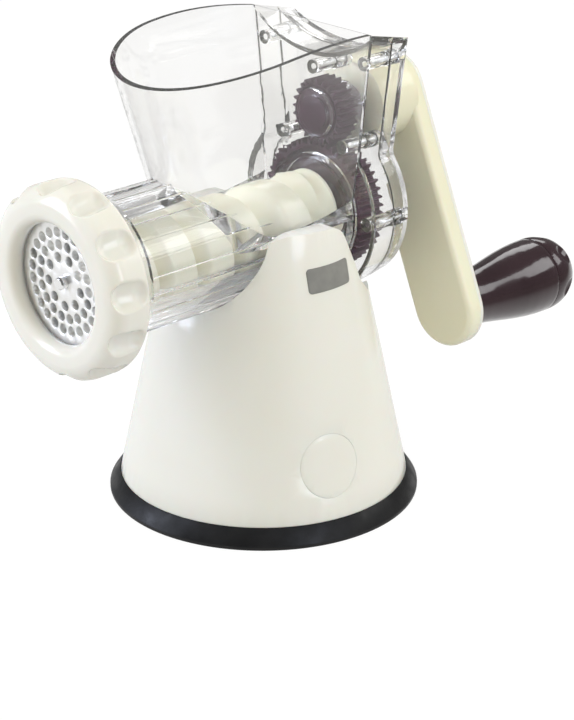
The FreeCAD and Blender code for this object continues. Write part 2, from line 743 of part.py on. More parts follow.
def ring_space(start, end):
    """Ring-shaped space between the wheel's hub and its toothed rim."""
    return cut(along_y(N.dish_radius, start, end, z=N.axis_height),
               along_y(N.dish_hub_radius, start - 1, end + 1, z=N.axis_height))


def make_wheel():
    """Large gear with a dished web, three oval slots, a square socket and a rear journal."""
    front, rear = N.gear_front, N.gear_front + N.gear_width
    half_pitch = math.pi / N.wheel_teeth
    gear = gear_solid(N.wheel_teeth, math.pi / 2 + half_pitch, N.axis_height)
    dish = ring_space(front - 1, front + N.dish_depth)
    back_dish = ring_space(rear - N.back_dish_depth, rear + 1)
    journal = along_y(N.wheel_journal_radius, rear - 1, N.case_rear - N.case_wall - 0.4, z=N.axis_height)
    slots = []
    for turn in (0, 120, 240):
        half, height = N.slot_half_length, N.axis_height + N.slot_reach
        corner = Vector(-half, front, height - N.slot_radius)
        slot = fused(along_y(N.slot_radius, front, rear, -half, height),
                     along_y(N.slot_radius, front, rear, half, height),
                     Part.makeBox(2 * half, N.gear_width, 2 * N.slot_radius, corner))
        slot.rotate(AXIS, Vector(0, 1, 0), turn)
        slots.append(slot)
    socket = square_along_y(N.drive_square + 0.2, front - 1, front + 10.2, N.axis_height)
    feature("auger_gear", cut(fused(gear, journal), dish, back_dish, socket, *slots))


def flight_profile(pitch):
    """Round the auger at one place: crest at full radius, a long fall, a steep rise to the sharp edge."""
    crest = 360.0 * N.crest_width / pitch
    foot = 336.0
    depth = N.auger_radius - N.auger_core_radius
    corners = [(crest * i / 9, N.auger_radius) for i in range(10)]
    for i in range(1, 9):
        share = i / 8
        fall = 0.5 - 0.5 * math.cos(math.pi * share)
        corners.append((crest + (foot - crest) * share, N.auger_radius - depth * fall))
    return corners + [(350.0, N.auger_core_radius + 0.55 * depth)]


def auger_section(y, turn, pitch):
    """Polygon across the auger whose sharp flight edge stands at one angle, clockwise from the top."""
    points = []
    for angle, radius in flight_profile(pitch):
        place = math.radians(angle + turn)
        points.append((radius * math.sin(place), y, N.axis_height + radius * math.cos(place)))
    return closed_wire(points)


def screw_run(start, end, pitch, start_turn):
    """Length of screw between two places on the axis, and the angle at which its flight ends."""
    turns = (start - end) / pitch
    steps = round(turns * AUGER_STEPS)
    stages = [i / steps for i in range(steps + 1)]
    sections = [auger_section(start + (end - start) * t, start_turn - 360.0 * turns * t, pitch)
                for t in stages]
    return Part.makeLoft(sections, True, True), start_turn - 360.0 * turns


def make_auger():
    """Cream feed screw: coarse in the hopper, finer in the barrel, with a rear flange and square drive."""
    rear = N.auger_rear - N.flange_depth + 1.0
    start_turn = 90.0 + 360.0 * (rear - FLIGHT_EDGE) / N.feed_pitch
    feed, turn = screw_run(rear, FLIGHT_CHANGE, N.feed_pitch, start_turn)
    press, turn = screw_run(FLIGHT_CHANGE, -N.auger_front, N.press_pitch, turn)
    rim, back = N.flange_radius, N.auger_rear
    flange = revolve_y([(0, back - N.flange_depth), (N.auger_core_radius + 1.0, back - N.flange_depth),
                        (rim, back - N.flange_rim), (rim, back), (0, back)])
    neck = along_y(N.neck_radius, back - 1, N.case_front + N.case_wall + 1, z=N.axis_height)
    drive = square_along_y(N.drive_square, N.case_front + 2, N.gear_front + 9.8, N.axis_height)
    nose = along_y(11.0, -N.auger_front - 1.6, -N.auger_front + 2, z=N.axis_height)
    auger = fused(feed, press, flange, neck, drive, nose)
    socket = along_y(N.pin_radius, -N.auger_front - 3, -N.auger_front + 22, z=N.axis_height)
    feature("auger", cut(auger, socket))


def revolve_y(points):
    face = Part.Face(closed_wire([(r, y, 0) for r, y in points]))
    solid = face.revolve(Vector(0, 0, 0), Vector(0, 1, 0), 360)
    solid.translate(AXIS)
    return solid


def make_cutting_set():
    """Steel pin, four-winged blade and perforated plate at the outlet."""
    blade_rear = -N.auger_front - 1.8
    blade_front = -N.plate_front + N.plate_thickness + 0.3
    pin = fused(
        along_y(N.pin_radius, blade_rear - 1, -N.auger_front + 20, z=N.axis_height),
        square_along_y(N.pin_square, blade_front, blade_rear, N.axis_height),
        along_y(N.pin_nose_radius, -N.plate_front - 2.6, blade_front + 1, z=N.axis_height),
        Part.makeCone(N.pin_nose_radius, N.pin_nose_radius - 0.7, 0.7,
                      Vector(0, -N.plate_front - 2.6, N.axis_height), Vector(0, -1, 0)))
    feature("auger_pin", pin)
    hub = along_y(8.5, blade_front, blade_rear, z=N.axis_height)
    wing = Part.Face(closed_wire([
        (-4.5, blade_front, 6), (4.5, blade_front, 6),
        (2.6, blade_front, N.blade_radius), (-6.0, blade_front, N.blade_radius - 1)]))
    wing = wing.extrude(Vector(0, blade_rear - blade_front, 0))
    bevel = Part.Face(closed_wire([
        (-9, blade_rear + 1, 9), (-9, blade_front + 1.5, 9),
        (-2.5, blade_rear, 9), (-2.5, blade_rear + 1, 9)])).extrude(Vector(0, 0, 30))
    wing = wing.cut(bevel)
    wing.translate(AXIS)
    wings = []
    for turn in (20, 110, 200, 290):
        copy = wing.copy()
        copy.rotate(AXIS, Vector(0, 1, 0), turn)
        wings.append(copy)
    blade = cut(fused(hub, *wings), square_along_y(N.pin_square + 0.1, blade_front - 1, blade_rear + 1,
                                                   N.axis_height))
    feature("cutter_blade", blade)
    keep(make_plate())


def make_plate():
    """Round steel plate with three rings of holes and a bearing hole for the pin."""
    body = DOC.addObject("PartDesign::Body", "die_plate")
    disc = new_sketch(body, "die_plate_disc", "XZ_Plane")
    draw_circle(disc, 0, 0, D.plate_radius)
    draw_circle(disc, 0, 0, D.pin_nose_radius + D.running_gap)
    pad = body.newObject("PartDesign::Pad", "die_plate_pad")
    pad.Profile = disc
    bind(pad, "Length", D.plate_thickness)
    DOC.recompute()
    for name, reach, turn, count in (("inner", 11.55, 109.4, 9), ("middle", 17.4, 79.6, 18),
                                     ("outer", 23.2, 69.6, 24)):
        plan = new_sketch(body, "die_plate_" + name, "XZ_Plane")
        angle = math.radians(turn)
        draw_circle(plan, reach * math.cos(angle), reach * math.sin(angle), D.plate_hole_radius)
        hole = body.newObject("PartDesign::Pocket", "die_plate_%s_hole" % name)
        hole.Profile = plan
        hole.Type = 1
        hole.Midplane = True
        DOC.recompute()
        ring = body.newObject("PartDesign::PolarPattern", "die_plate_%s_ring" % name)
        ring.Originals = [hole]
        ring.Axis = (plan, ["N_Axis"])
        ring.Angle = 360
        ring.Occurrences = count
        body.Tip = ring
        DOC.recompute()
    bind(body, "Placement.Base.y", -D.plate_front + D.plate_thickness)
    bind(body, "Placement.Base.z", D.axis_height)
    return body


def make_nut():
    """Cream ring nut: rolled front lip, thumb scoops round the outside, and a plain rear rim."""
    inner = D.collar_radius + 0.4
    body = revolved("ring_nut_blank", "XY_Plane", [
        (D.nut_opening + 1.0, -D.plate_front - 0.4),
        (D.nut_opening + 1.0, -D.nut_front),
        (D.nut_radius, -D.nut_front),
        (D.nut_radius, -D.nut_rear - 3),
        (D.nut_radius - 1.2, -D.nut_rear),
        (inner, -D.nut_rear),
        (inner, -D.plate_front - 0.4)])
    round_edges(body, D.nut_rounding, ring_at(-N.nut_front, N.nut_radius))
    round_edges(body, D.nut_mouth_rounding, ring_at(-N.nut_front, N.nut_opening + 1.0))
    bind(body, "Placement.Base.z", D.axis_height)
    DOC.recompute()
    scoops = []
    for i in range(int(N.nut_scoops)):
        tool = fused(along_y(N.scoop_radius, 0, N.scoop_run), Part.makeSphere(N.scoop_radius),
                     Part.makeSphere(N.scoop_radius, Vector(0, N.scoop_run, 0)))
        tool.rotate(Vector(0, 0, 0), Vector(1, 0, 0), N.scoop_tilt)
        tool.translate(Vector(0, -N.nut_front + N.scoop_start, N.nut_radius + N.scoop_lift))
        tool.rotate(Vector(0, 0, 0), Vector(0, 1, 0), N.scoop_phase + 360.0 * i / N.nut_scoops)
        tool.translate(AXIS)
        scoops.append(tool)
    body.Visibility = False
    feature("ring_nut", body.Shape.cut(scoops))


def stadium(half_width, reach, start, end):
    """Arm outline with round ends from the crank shaft down to the knob, in the arm's upright place."""
    low = -reach
    right, left = Vector(half_width, start, 0), Vector(-half_width, start, 0)
    right_low, left_low = Vector(half_width, start, low), Vector(-half_width, start, low)
    edges = [
        Part.Arc(right, Vector(0, start, half_width), left).toShape(),
        Part.makeLine(left, left_low),
        Part.Arc(left_low, Vector(0, start, low - half_width), right_low).toShape(),
        Part.makeLine(right_low, right)]
    return Part.Face(Part.Wire(edges)).extrude(Vector(0, end - start, 0))


def crank_place():
    """Placement of the crank: the arm hangs from the crank shaft, swung towards +X."""
    return Placement(Vector(0, 0, PINION_HEIGHT), Rotation(Vector(0, 1, 0), -N.crank_tilt))


def swung(shape):
    shape.Placement = crank_place().multiply(shape.Placement)
    return shape


def make_crank():
    """Two-shell crank arm with its hub, the screw that holds it, and the knob's axle."""
    reach, half = N.crank_reach, N.crank_half_width
    block = stadium(half, reach, N.arm_front, N.arm_seam)
    front_edges = [e for e in block.Edges if abs(e.CenterOfMass.y - N.arm_front) < 0.01]
    block = block.makeFillet(N.arm_rounding, front_edges)
    hollow = stadium(half - N.arm_wall, reach, N.arm_front + 3.0, N.arm_seam + 1)
    hub = Part.makeCone(N.hub_radius, N.hub_radius + 1.5, N.arm_front + 4 - N.hub_front,
                        Vector(0, N.hub_front, 0), Vector(0, 1, 0))
    hub = hub.common(stadium(half + 20, reach, N.hub_front, N.arm_front + 2.9))
    core = along_y(10.5, N.arm_front, N.arm_seam - 2.0)
    knob_post = along_y(9.0, N.arm_front, N.arm_seam - 0.4, 0, -reach)
    arm = fused(block.cut(hollow), hub, core, knob_post)
    socket = square_along_y(N.crank_square + 0.2, N.hub_front - 1, N.arm_front + 1.6, 0)
    screw_way = along_y(1.8, N.arm_front, N.arm_seam)
    axle_hole = along_y(N.axle_radius, N.arm_front + 2, N.arm_seam + 1, 0, -reach)
    feature("crank_arm", swung(cut(arm, socket, screw_way, axle_hole)))
    lid = stadium(half, reach, N.arm_seam, N.arm_rear)
    rear_edges = [e for e in lid.Edges if abs(e.CenterOfMass.y - N.arm_rear) < 0.01]
    lid = lid.makeFillet(N.lid_rounding, rear_edges)
    lid_hole = along_y(N.axle_radius + 0.05, N.arm_seam - 1, N.arm_rear + 1, 0, -reach)
    feature("crank_cover", swung(lid.cut(lid_hole)))
    washer = along_y(5.0, N.arm_seam - 2.0, N.arm_seam - 1.0).cut(along_y(1.8, N.arm_seam - 3, N.arm_seam))
    feature("crank_washer", swung(washer))
    seat = Vector(0, N.arm_seam - 1.0, 0)
    feature("crank_screw", swung(screw(seat, Vector(0, -1, 0), 1.6, 16.0, 3.2, 0.9)))
    axle = fused(along_y(N.axle_radius, N.arm_front + 2.2, N.knob_seam + 1.0, 0, -reach),
                 along_y(6.0, N.knob_seam + 1.0, N.knob_seam + 3.0, 0, -reach))
    feature("knob_axle", swung(axle))


def make_knob():
    """Flared grip that turns on the axle, and its domed end cap with six finger dimples."""
    bore = D.axle_radius + D.running_gap
    swell = D.knob_radius - D.knob_neck_radius
    length = D.knob_seam - D.knob_start - 1.0
    flare = []
    for i in range(9):
        share = i / 8
        flare.append((D.knob_neck_radius + swell * (0.5 - 0.5 * math.cos(math.pi * share ** 0.9)),
                      D.knob_start + 1.0 + length * share))
    grip = revolved("handle_grip", "XY_Plane", [(bore, D.knob_start),
                                                (D.knob_neck_radius - 0.8, D.knob_start)] + flare + [
        (D.knob_radius - 3, D.knob_seam),
        (D.knob_radius - 3, D.knob_seam - 4),
        (bore, D.knob_seam - 4)])
    keep(grip)
    tilt = math.radians(N.crank_tilt)
    bind(grip, "Placement.Base.x", D.crank_reach * math.sin(tilt))
    bind(grip, "Placement.Base.z", D.axis_height + (PINION_HEIGHT - N.axis_height)
         - D.crank_reach * math.cos(tilt))
    feature("handle_cap", knob_cap())


def knob_cap():
    """Domed end cap with a short collar, a recess for the axle's head and six round dimples."""
    seam, radius = N.knob_seam + 0.2, N.knob_radius - 0.05
    middle = N.knob_tip - radius
    ball = Part.makeSphere(radius, Vector(0, middle, 0))
    dome = ball.common(along_y(radius + 1, seam, N.knob_tip + 1))
    cap = fused(dome, along_y(radius, seam, middle))
    recess = along_y(8.0, seam - 1, N.knob_seam + 5.0)
    dimples = []
    for i in range(int(N.knob_dimples)):
        bead = Part.makeSphere(N.dimple_radius, Vector(0, 0, radius + N.dimple_lift))
        bead.rotate(Vector(0, 0, 0), Vector(1, 0, 0), -N.dimple_tilt)
        bead.translate(Vector(0, middle, 0))
        bead.rotate(Vector(0, 0, 0), Vector(0, 1, 0), N.dimple_phase + 360.0 * i / N.knob_dimples)
        dimples.append(bead)
    cap = cut(cap, recess, *dimples)
    cap.translate(Vector(0, 0, -N.crank_reach))
    return swung(cap)


def check_document():
    """Stop where any object failed or a piece has no sound shape."""
    DOC.recompute()
    for thing in DOC.Objects:
        if any(word in ("Invalid", "Error") for word in thing.State):
            raise RuntimeError("%s failed: %s" % (thing.Name, thing.State))
    for piece in PIECES:
        if piece.Shape.isNull() or not piece.Shape.isValid() or not piece.Shape.Solids:
            raise RuntimeError("%s has no sound shape" % piece.Label)


def main():
    make_foot()
    make_base()
    make_suction()
    make_housing()
    make_cover()
    make_pinion()
    make_wheel()
    make_auger()
    make_cutting_set()
    make_nut()
    make_crank()
    make_knob()
    check_document()
    os.makedirs("parts", exist_ok=True)
    for piece in PIECES:
        piece.Shape.exportStep("parts/%s.step" % piece.Label)
        print("%-18s solids %d faces %4d volume %9.1f" % (
            piece.Label, len(piece.Shape.Solids), len(piece.Shape.Faces), piece.Shape.Volume))


main()
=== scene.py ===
import json
import math

import bpy
from mathutils import Matrix, Vector


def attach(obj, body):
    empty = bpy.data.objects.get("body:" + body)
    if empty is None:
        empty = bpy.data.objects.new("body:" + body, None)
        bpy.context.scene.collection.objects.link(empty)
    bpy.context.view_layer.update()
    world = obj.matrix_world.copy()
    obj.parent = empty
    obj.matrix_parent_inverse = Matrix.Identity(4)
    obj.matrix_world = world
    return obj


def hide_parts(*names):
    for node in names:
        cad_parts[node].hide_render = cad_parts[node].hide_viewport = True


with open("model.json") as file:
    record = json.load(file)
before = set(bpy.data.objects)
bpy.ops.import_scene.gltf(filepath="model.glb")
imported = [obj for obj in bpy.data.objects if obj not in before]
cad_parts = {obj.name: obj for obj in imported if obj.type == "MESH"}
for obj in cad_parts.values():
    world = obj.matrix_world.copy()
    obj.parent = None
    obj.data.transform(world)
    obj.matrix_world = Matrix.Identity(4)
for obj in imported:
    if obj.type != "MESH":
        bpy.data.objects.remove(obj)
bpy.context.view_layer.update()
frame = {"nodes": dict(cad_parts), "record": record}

NODES = frame["nodes"]

# Camera, in metres and degrees, at the photograph's viewing angle
IMAGE_SIZE = (574, 720)
CAMERA_PLACE = Vector((0.7617, -0.7086, 0.5080))
CAMERA_AZIMUTH = 46.42
CAMERA_ELEVATION = 23.03
CAMERA_FOCAL_PIXELS = 2281.86
SENSOR_WIDTH = 36.0

# The base cone as radius and height, in metres
CONE_LOW = (0.0719, 0.0088)
CONE_HIGH = (0.0419, 0.150)

# Height of the barrel's axis in millimetres
AXIS_HEIGHT = 139.4

# The barrel's flat facets, its radius and where they run out below the hopper, in metres
BARREL_FACETS = 24
BARREL_RADIUS = 0.03345
BARREL_REAR = -0.015

# Screws of the gear case as x and z in millimetres
CASE_SCREWS = [(-33.0, 217.5), (33.0, 217.5), (0.0, 209.8), (-19.6, 173.6), (19.6, 173.6), (-38.2, 138.5),
               (38.2, 138.5)]

# Colours, linear
CREAM = (0.835, 0.83, 0.82)
CREAM_WARM = (0.82, 0.815, 0.785)
# Warmer copy of the cream for the crank arm and feed screw: painted shade, the same plastic coloured as it
# looks in shade
CREAM_PAINTED_SHADE = (0.865, 0.845, 0.70)
CREAM_PAINTED_SHADE_DEEP = (0.835, 0.81, 0.645)
AUBERGINE = (0.064, 0.020, 0.043)
AUBERGINE_DEEP = (0.045, 0.013, 0.030)
KNOB = (0.040, 0.021, 0.028)
KNOB_DEEP = (0.028, 0.014, 0.019)
RUBBER = (0.006, 0.006, 0.007)
RUBBER_WORN = (0.013, 0.013, 0.014)
STEEL = (0.97, 0.97, 0.96)
STEEL_DULL = (0.91, 0.91, 0.91)
# Darkened blade steel: painted shade for the dark space seen through the die plate's holes
BLADE_PAINTED_SHADE = (0.40, 0.40, 0.40)
BLADE_PAINTED_SHADE_DULL = (0.33, 0.33, 0.33)
DARK_PLASTIC = (0.045, 0.045, 0.047)
BADGE = (0.27, 0.27, 0.265)
BADGE_DULL = (0.22, 0.22, 0.22)
CLEAR = (0.99, 0.99, 0.985)
CLEAR_TINT = (0.985, 0.98, 0.968)
DAYLIGHT = (0.91, 0.985, 1.20)


class Recipe:
    """A material being put together: its node tree and its main shader."""

    def __init__(self, name):
        self.material = bpy.data.materials.new(name)
        self.material.use_nodes = True
        self.tree = self.material.node_tree
        self.shader = self.tree.nodes["Principled BSDF"]
        self.place = self.tree.nodes.new("ShaderNodeTexCoord").outputs["Object"]

    def set(self, **sockets):
        for name, value in sockets.items():
            self.shader.inputs[name.replace("_", " ")].default_value = value
        return self

    def link(self, output, target):
        self.tree.links.new(output, target)

    def noise(self, scale, detail=3.0, stretch=None):
        """Noise over the piece; scale is in features per metre, stretch squeezes it along an axis."""
        node = self.tree.nodes.new("ShaderNodeTexNoise")
        node.inputs["Scale"].default_value = scale
        node.inputs["Detail"].default_value = detail
        source = self.place
        if stretch:
            mapping = self.tree.nodes.new("ShaderNodeMapping")
            mapping.inputs["Scale"].default_value = stretch
            self.link(source, mapping.inputs["Vector"])
            source = mapping.outputs["Vector"]
        self.link(source, node.inputs["Vector"])
        return node.outputs["Fac"]

    def blend_colours(self, factor, low, high):
        ramp = self.tree.nodes.new("ShaderNodeValToRGB")
        ramp.color_ramp.elements[0].color = (*low, 1.0)
        ramp.color_ramp.elements[1].color = (*high, 1.0)
        ramp.color_ramp.elements[0].position = 0.32
        ramp.color_ramp.elements[1].position = 0.68
        self.link(factor, ramp.inputs["Fac"])
        self.link(ramp.outputs["Color"], self.shader.inputs["Base Color"])

    def vary(self, factor, socket, low, high):
        spread = self.tree.nodes.new("ShaderNodeMapRange")
        spread.inputs["From Min"].default_value = 0.3
        spread.inputs["From Max"].default_value = 0.7
        spread.inputs["To Min"].default_value = low
        spread.inputs["To Max"].default_value = high
        self.link(factor, spread.inputs["Value"])
        self.link(spread.outputs["Result"], self.shader.inputs[socket])

    def bump(self, factor, height):
        """Relief of a real height in metres."""
        node = self.tree.nodes.new("ShaderNodeBump")
        node.inputs["Strength"].default_value = 1.0
        node.inputs["Distance"].default_value = height
        self.link(factor, node.inputs["Height"])
        normal = self.shader.inputs["Normal"]
        if normal.is_linked:
            self.link(normal.links[0].from_socket, node.inputs["Normal"])
        self.link(node.outputs["Normal"], normal)

    def maths(self, operation, first, second):
        """Result of a sum on two values, each a number or a socket."""
        node = self.tree.nodes.new("ShaderNodeMath")
        node.operation = operation
        for value, socket in ((first, node.inputs[0]), (second, node.inputs[1])):
            if isinstance(value, (int, float)):
                socket.default_value = value
            else:
                self.link(value, socket)
        return node.outputs[0]

    def facet_edges(self):
        """One along the edges between the barrel's facets, falling to nought within half a millimetre."""
        axes = self.tree.nodes.new("ShaderNodeSeparateXYZ")
        self.link(self.place, axes.inputs["Vector"])
        across, along = axes.outputs["X"], axes.outputs["Y"]
        up = self.maths("SUBTRACT", axes.outputs["Z"], 0.001 * AXIS_HEIGHT)
        turn = self.maths("ARCTAN2", across, up)
        share = self.maths("FRACT", self.maths("MULTIPLY", turn, BARREL_FACETS / (2 * math.pi)), 0.0)
        away = self.maths("ABSOLUTE", self.maths("SUBTRACT", share, 0.5), 0.0)
        line = self.maths("MAXIMUM", self.maths("SUBTRACT", 1.0, self.maths("MULTIPLY", away, 18.0)), 0.0)
        radius = self.maths("SQRT", self.maths("ADD", self.maths("MULTIPLY", across, across),
                                               self.maths("MULTIPLY", up, up)), 0.0)
        proud = self.maths("ABSOLUTE", self.maths("SUBTRACT", radius, BARREL_RADIUS), 0.0)
        outside = self.maths("LESS_THAN", proud, 0.0006)
        barrel = self.maths("MULTIPLY", outside, self.maths("LESS_THAN", along, BARREL_REAR))
        return self.maths("MULTIPLY", line, barrel)

    def let_lamps_through(self, tint):
        """Lamps shine through the piece, so that what is inside it is lit."""
        nodes = self.tree.nodes
        through, mix = nodes.new("ShaderNodeBsdfTransparent"), nodes.new("ShaderNodeMixShader")
        through.inputs["Color"].default_value = (*tint, 1.0)
        self.link(nodes.new("ShaderNodeLightPath").outputs["Is Shadow Ray"], mix.inputs["Fac"])
        self.link(self.shader.outputs["BSDF"], mix.inputs[1])
        self.link(through.outputs["BSDF"], mix.inputs[2])
        self.link(mix.outputs["Shader"], nodes["Material Output"].inputs["Surface"])


def cream_plastic(name, deep, pale):
    """Glossy ivory moulding with faint flow shading and the slight ripple of a moulded skin."""
    recipe = Recipe(name).set(IOR=1.5, Subsurface_Weight=0.12, Subsurface_Scale=0.004)
    recipe.blend_colours(recipe.noise(14.0, 4.0), deep, pale)
    recipe.vary(recipe.noise(60.0), "Roughness", 0.14, 0.22)
    recipe.bump(recipe.noise(45.0, 2.0), 0.00006)
    return recipe.material


def clear_plastic():
    """Polished clear moulding with a trace of ripple and handling haze."""
    recipe = Recipe("clear_plastic").set(IOR=1.49, Transmission_Weight=0.99)
    recipe.blend_colours(recipe.noise(20.0), CLEAR_TINT, CLEAR)
    recipe.vary(recipe.noise(35.0, 4.0), "Roughness", 0.0, 0.02)
    recipe.bump(recipe.noise(30.0, 1.0), 0.00002)
    recipe.bump(recipe.facet_edges(), 0.00017)
    recipe.let_lamps_through(CLEAR_TINT)
    return recipe.material


def aubergine_plastic():
    """Satin gear plastic with fine grain."""
    recipe = Recipe("aubergine_plastic").set(IOR=1.5, Specular_IOR_Level=0.22)
    recipe.blend_colours(recipe.noise(90.0, 5.0), AUBERGINE_DEEP, AUBERGINE)
    recipe.vary(recipe.noise(220.0), "Roughness", 0.30, 0.44)
    recipe.bump(recipe.noise(1600.0, 2.0), 0.00002)
    return recipe.material


def knob_plastic():
    """Dark high-gloss plastic under a clear skin."""
    recipe = Recipe("knob_plastic").set(IOR=1.52, Coat_Weight=0.6, Coat_Roughness=0.06)
    recipe.blend_colours(recipe.noise(40.0, 4.0), KNOB_DEEP, KNOB)
    recipe.vary(recipe.noise(80.0), "Roughness", 0.12, 0.20)
    recipe.bump(recipe.noise(50.0, 2.0), 0.00004)
    return recipe.material


def rubber():
    """Black rubber: matt, finely grained, a little dusty."""
    recipe = Recipe("rubber").set(IOR=1.5, Specular_IOR_Level=0.3)
    recipe.blend_colours(recipe.noise(55.0, 6.0), RUBBER, RUBBER_WORN)
    recipe.vary(recipe.noise(130.0, 4.0), "Roughness", 0.36, 0.55)
    recipe.bump(recipe.noise(900.0, 4.0), 0.00006)
    return recipe.material


def ground_steel(name, smooth, rough, shine=1.0, dull=STEEL_DULL, bright=STEEL):
    """Stainless steel with fine grinding marks across it; a frosted face shines less."""
    recipe = Recipe(name).set(Metallic=shine)
    marks = recipe.noise(240.0, 5.0, stretch=(1.0, 1.0, 14.0))
    recipe.blend_colours(marks, dull, bright)
    recipe.vary(marks, "Roughness", smooth, rough)
    recipe.bump(marks, 0.000003)
    return recipe.material


def dark_plastic():
    recipe = Recipe("dark_plastic").set(IOR=1.5)
    recipe.blend_colours(recipe.noise(60.0, 5.0), RUBBER_WORN, DARK_PLASTIC)
    recipe.vary(recipe.noise(150.0), "Roughness", 0.40, 0.55)
    recipe.bump(recipe.noise(1200.0, 3.0), 0.00003)
    return recipe.material


def badge_print():
    """Flat grey of a plain printed badge."""
    recipe = Recipe("badge_print").set(IOR=1.45)
    recipe.blend_colours(recipe.noise(160.0, 5.0), BADGE_DULL, BADGE)
    recipe.vary(recipe.noise(90.0), "Roughness", 0.32, 0.42)
    recipe.bump(recipe.noise(1500.0, 2.0), 0.00001)
    return recipe.material


MATERIALS = {
    "badge_print": badge_print(),
    "cream_plastic": cream_plastic("cream_plastic", CREAM_WARM, CREAM),
    # Painted shade: a warmer copy of the cream plastic for the crank arm and feed screw
    "cream_painted_shade": cream_plastic("cream_painted_shade", CREAM_PAINTED_SHADE_DEEP, CREAM_PAINTED_SHADE),
    "clear_plastic": clear_plastic(),
    "aubergine_plastic": aubergine_plastic(),
    "knob_plastic": knob_plastic(),
    "rubber": rubber(),
    "steel": ground_steel("ground_steel", 0.26, 0.36),
    "bright_steel": ground_steel("bright_steel", 0.06, 0.12),
    "frosted_steel": ground_steel("frosted_steel", 0.28, 0.38, shine=0.8),
    # Painted shade: the cutter blade's steel darkened so the die plate's holes read dark
    "blade_steel_painted_shade": ground_steel("blade_steel_painted_shade", 0.22, 0.32, dull=BLADE_PAINTED_SHADE_DULL, bright=BLADE_PAINTED_SHADE),
    "dark_plastic": dark_plastic(),
}


def finish_node(node, slot, edge_width, edge_steps, bend, crease):
    """Give a CAD node its material, softly broken edges and shading that breaks only at real creases."""
    thing = NODES[node]
    thing.data.materials.clear()
    thing.data.materials.append(MATERIALS[slot])
    for face in thing.data.polygons:
        face.use_smooth = True
        face.material_index = 0
    weld = thing.modifiers.new("weld", "WELD")
    weld.merge_threshold = 0.00001
    bevel = thing.modifiers.new("edge", "BEVEL")
    bevel.width = edge_width
    bevel.segments = edge_steps
    bevel.limit_method = "ANGLE"
    bevel.angle_limit = math.radians(bend)
    bevel.harden_normals = True
    split = thing.modifiers.new("crease", "EDGE_SPLIT")
    split.split_angle = math.radians(crease)
    split.use_edge_sharp = False


# Nodes of a slot whose finish differs a little from the others of that slot; the crank arm's warmer cream and
# the cutter blade's darker steel are painted shade
OWN_FINISH = {"crank_arm": "cream_painted_shade", "auger_pin": "bright_steel",
              "die_plate": "frosted_steel", "cutter_blade": "blade_steel_painted_shade"}


def dress_nodes():
    """Every CAD node that is shown as packed gets its finish; the barrel's facets stay crisp."""
    for entry in frame["record"]["subparts"]:
        node = entry["node"]
        slot = OWN_FINISH.get(node, entry["material_slot"])
        if node == "hopper_body":
            finish_node(node, slot, 0.0004, 1, 13.0, 7.0)
        else:
            finish_node(node, slot, 0.0003, 2, 28.0, 24.0)


def new_piece(name, points, faces, slot, body):
    """A piece of the object from its points and faces, in its material, riding on a CAD body."""
    mesh = bpy.data.meshes.new(name)
    mesh.from_pydata([tuple(p) for p in points], [], faces)
    mesh.validate()
    for face in mesh.polygons:
        face.use_smooth = True
    mesh.materials.append(MATERIALS[slot])
    piece = bpy.data.objects.new(name, mesh)
    bpy.context.scene.collection.objects.link(piece)
    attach(piece, body)
    return piece


def grid_faces(rows, columns, first=0, wrap=True):
    """Quads over rows of points that lie one after the other; wrap closes each row into a ring."""
    last = columns if wrap else columns - 1
    faces = []
    for row in range(rows - 1):
        for column in range(last):
            after = (column + 1) % columns
            low, high = first + row * columns, first + (row + 1) * columns
            faces.append((low + column, low + after, high + after, high + column))
    return faces


def cone_point(y, z, lift):
    """A point on the base's +X side, a small height proud of its surface."""
    share = (z - CONE_LOW[1]) / (CONE_HIGH[1] - CONE_LOW[1])
    radius = CONE_LOW[0] + (CONE_HIGH[0] - CONE_LOW[0]) * share + lift
    return (math.sqrt(radius * radius - y * y), y, z)


def badge_row(height, lift, shrink):
    """One row of points across the badge, shorter where its corners are round."""
    half_width, half_height, corner = 0.0131 - shrink, 0.0059 - shrink, 0.0018 - shrink
    rise = height * half_height
    past = max(abs(rise) - (half_height - corner), 0.0)
    reach = half_width - corner + math.sqrt(max(corner * corner - past * past, 0.0))
    spread = [-1.0 + 2.0 * i / 24 for i in range(25)]
    return [cone_point(-0.0008 + reach * share, 0.1233 + rise, lift) for share in spread]


def make_badge():
    """Plain grey badge with round corners that follows the cone."""
    heights = [math.sin(math.radians(-90 + 7.5 * i)) for i in range(25)]
    front = [badge_row(height, 0.0003, 0.0001) for height in heights]
    rim = [badge_row(height, 0.0002, 0.0) for height in heights]
    back = [badge_row(height, -0.0004, 0.0) for height in heights]
    points = [p for rows in (front, rim, back) for row in rows for p in row]
    count = len(heights) * 25
    edge = [i for i in range(25)] + [25 * r + 24 for r in range(1, 25)]
    edge += [24 * 25 + 24 - i for i in range(1, 25)] + [25 * (24 - r) for r in range(1, 24)]
    faces = grid_faces(25, 25, wrap=False)
    for first, second in ((0, count), (count, 2 * count)):
        for a, b in zip(edge, edge[1:] + edge[:1]):
            faces.append((first + b, first + a, second + a, second + b))
    faces += [tuple(reversed(face)) for face in grid_faces(25, 25, first=2 * count, wrap=False)]
    badge = new_piece("badge", points, faces, "badge_print", "housing")


def turned(y, radius, angle):
    """A point about the barrel's axis, angle clockwise from the top; lengths in millimetres."""
    return (0.001 * radius * math.sin(angle), 0.001 * y, 0.001 * (AXIS_HEIGHT + radius * math.cos(angle)))


def soft_least(a, b, blend):
    """The smaller of two numbers, blended where they are close."""
    share = min(max(0.5 + 0.5 * (b - a) / blend, 0.0), 1.0)
    return b + (a - b) * share - blend * share * (1.0 - share)


def arc_points(centre_y, centre_r, radius, start, end, steps):
    """Points of a profile arc as (y, r); angles in degrees from the outlet's direction, outwards."""
    turns = [math.radians(start + (end - start) * i / steps) for i in range(steps + 1)]
    return [(centre_y - radius * math.cos(t), centre_r + radius * math.sin(t)) for t in turns]


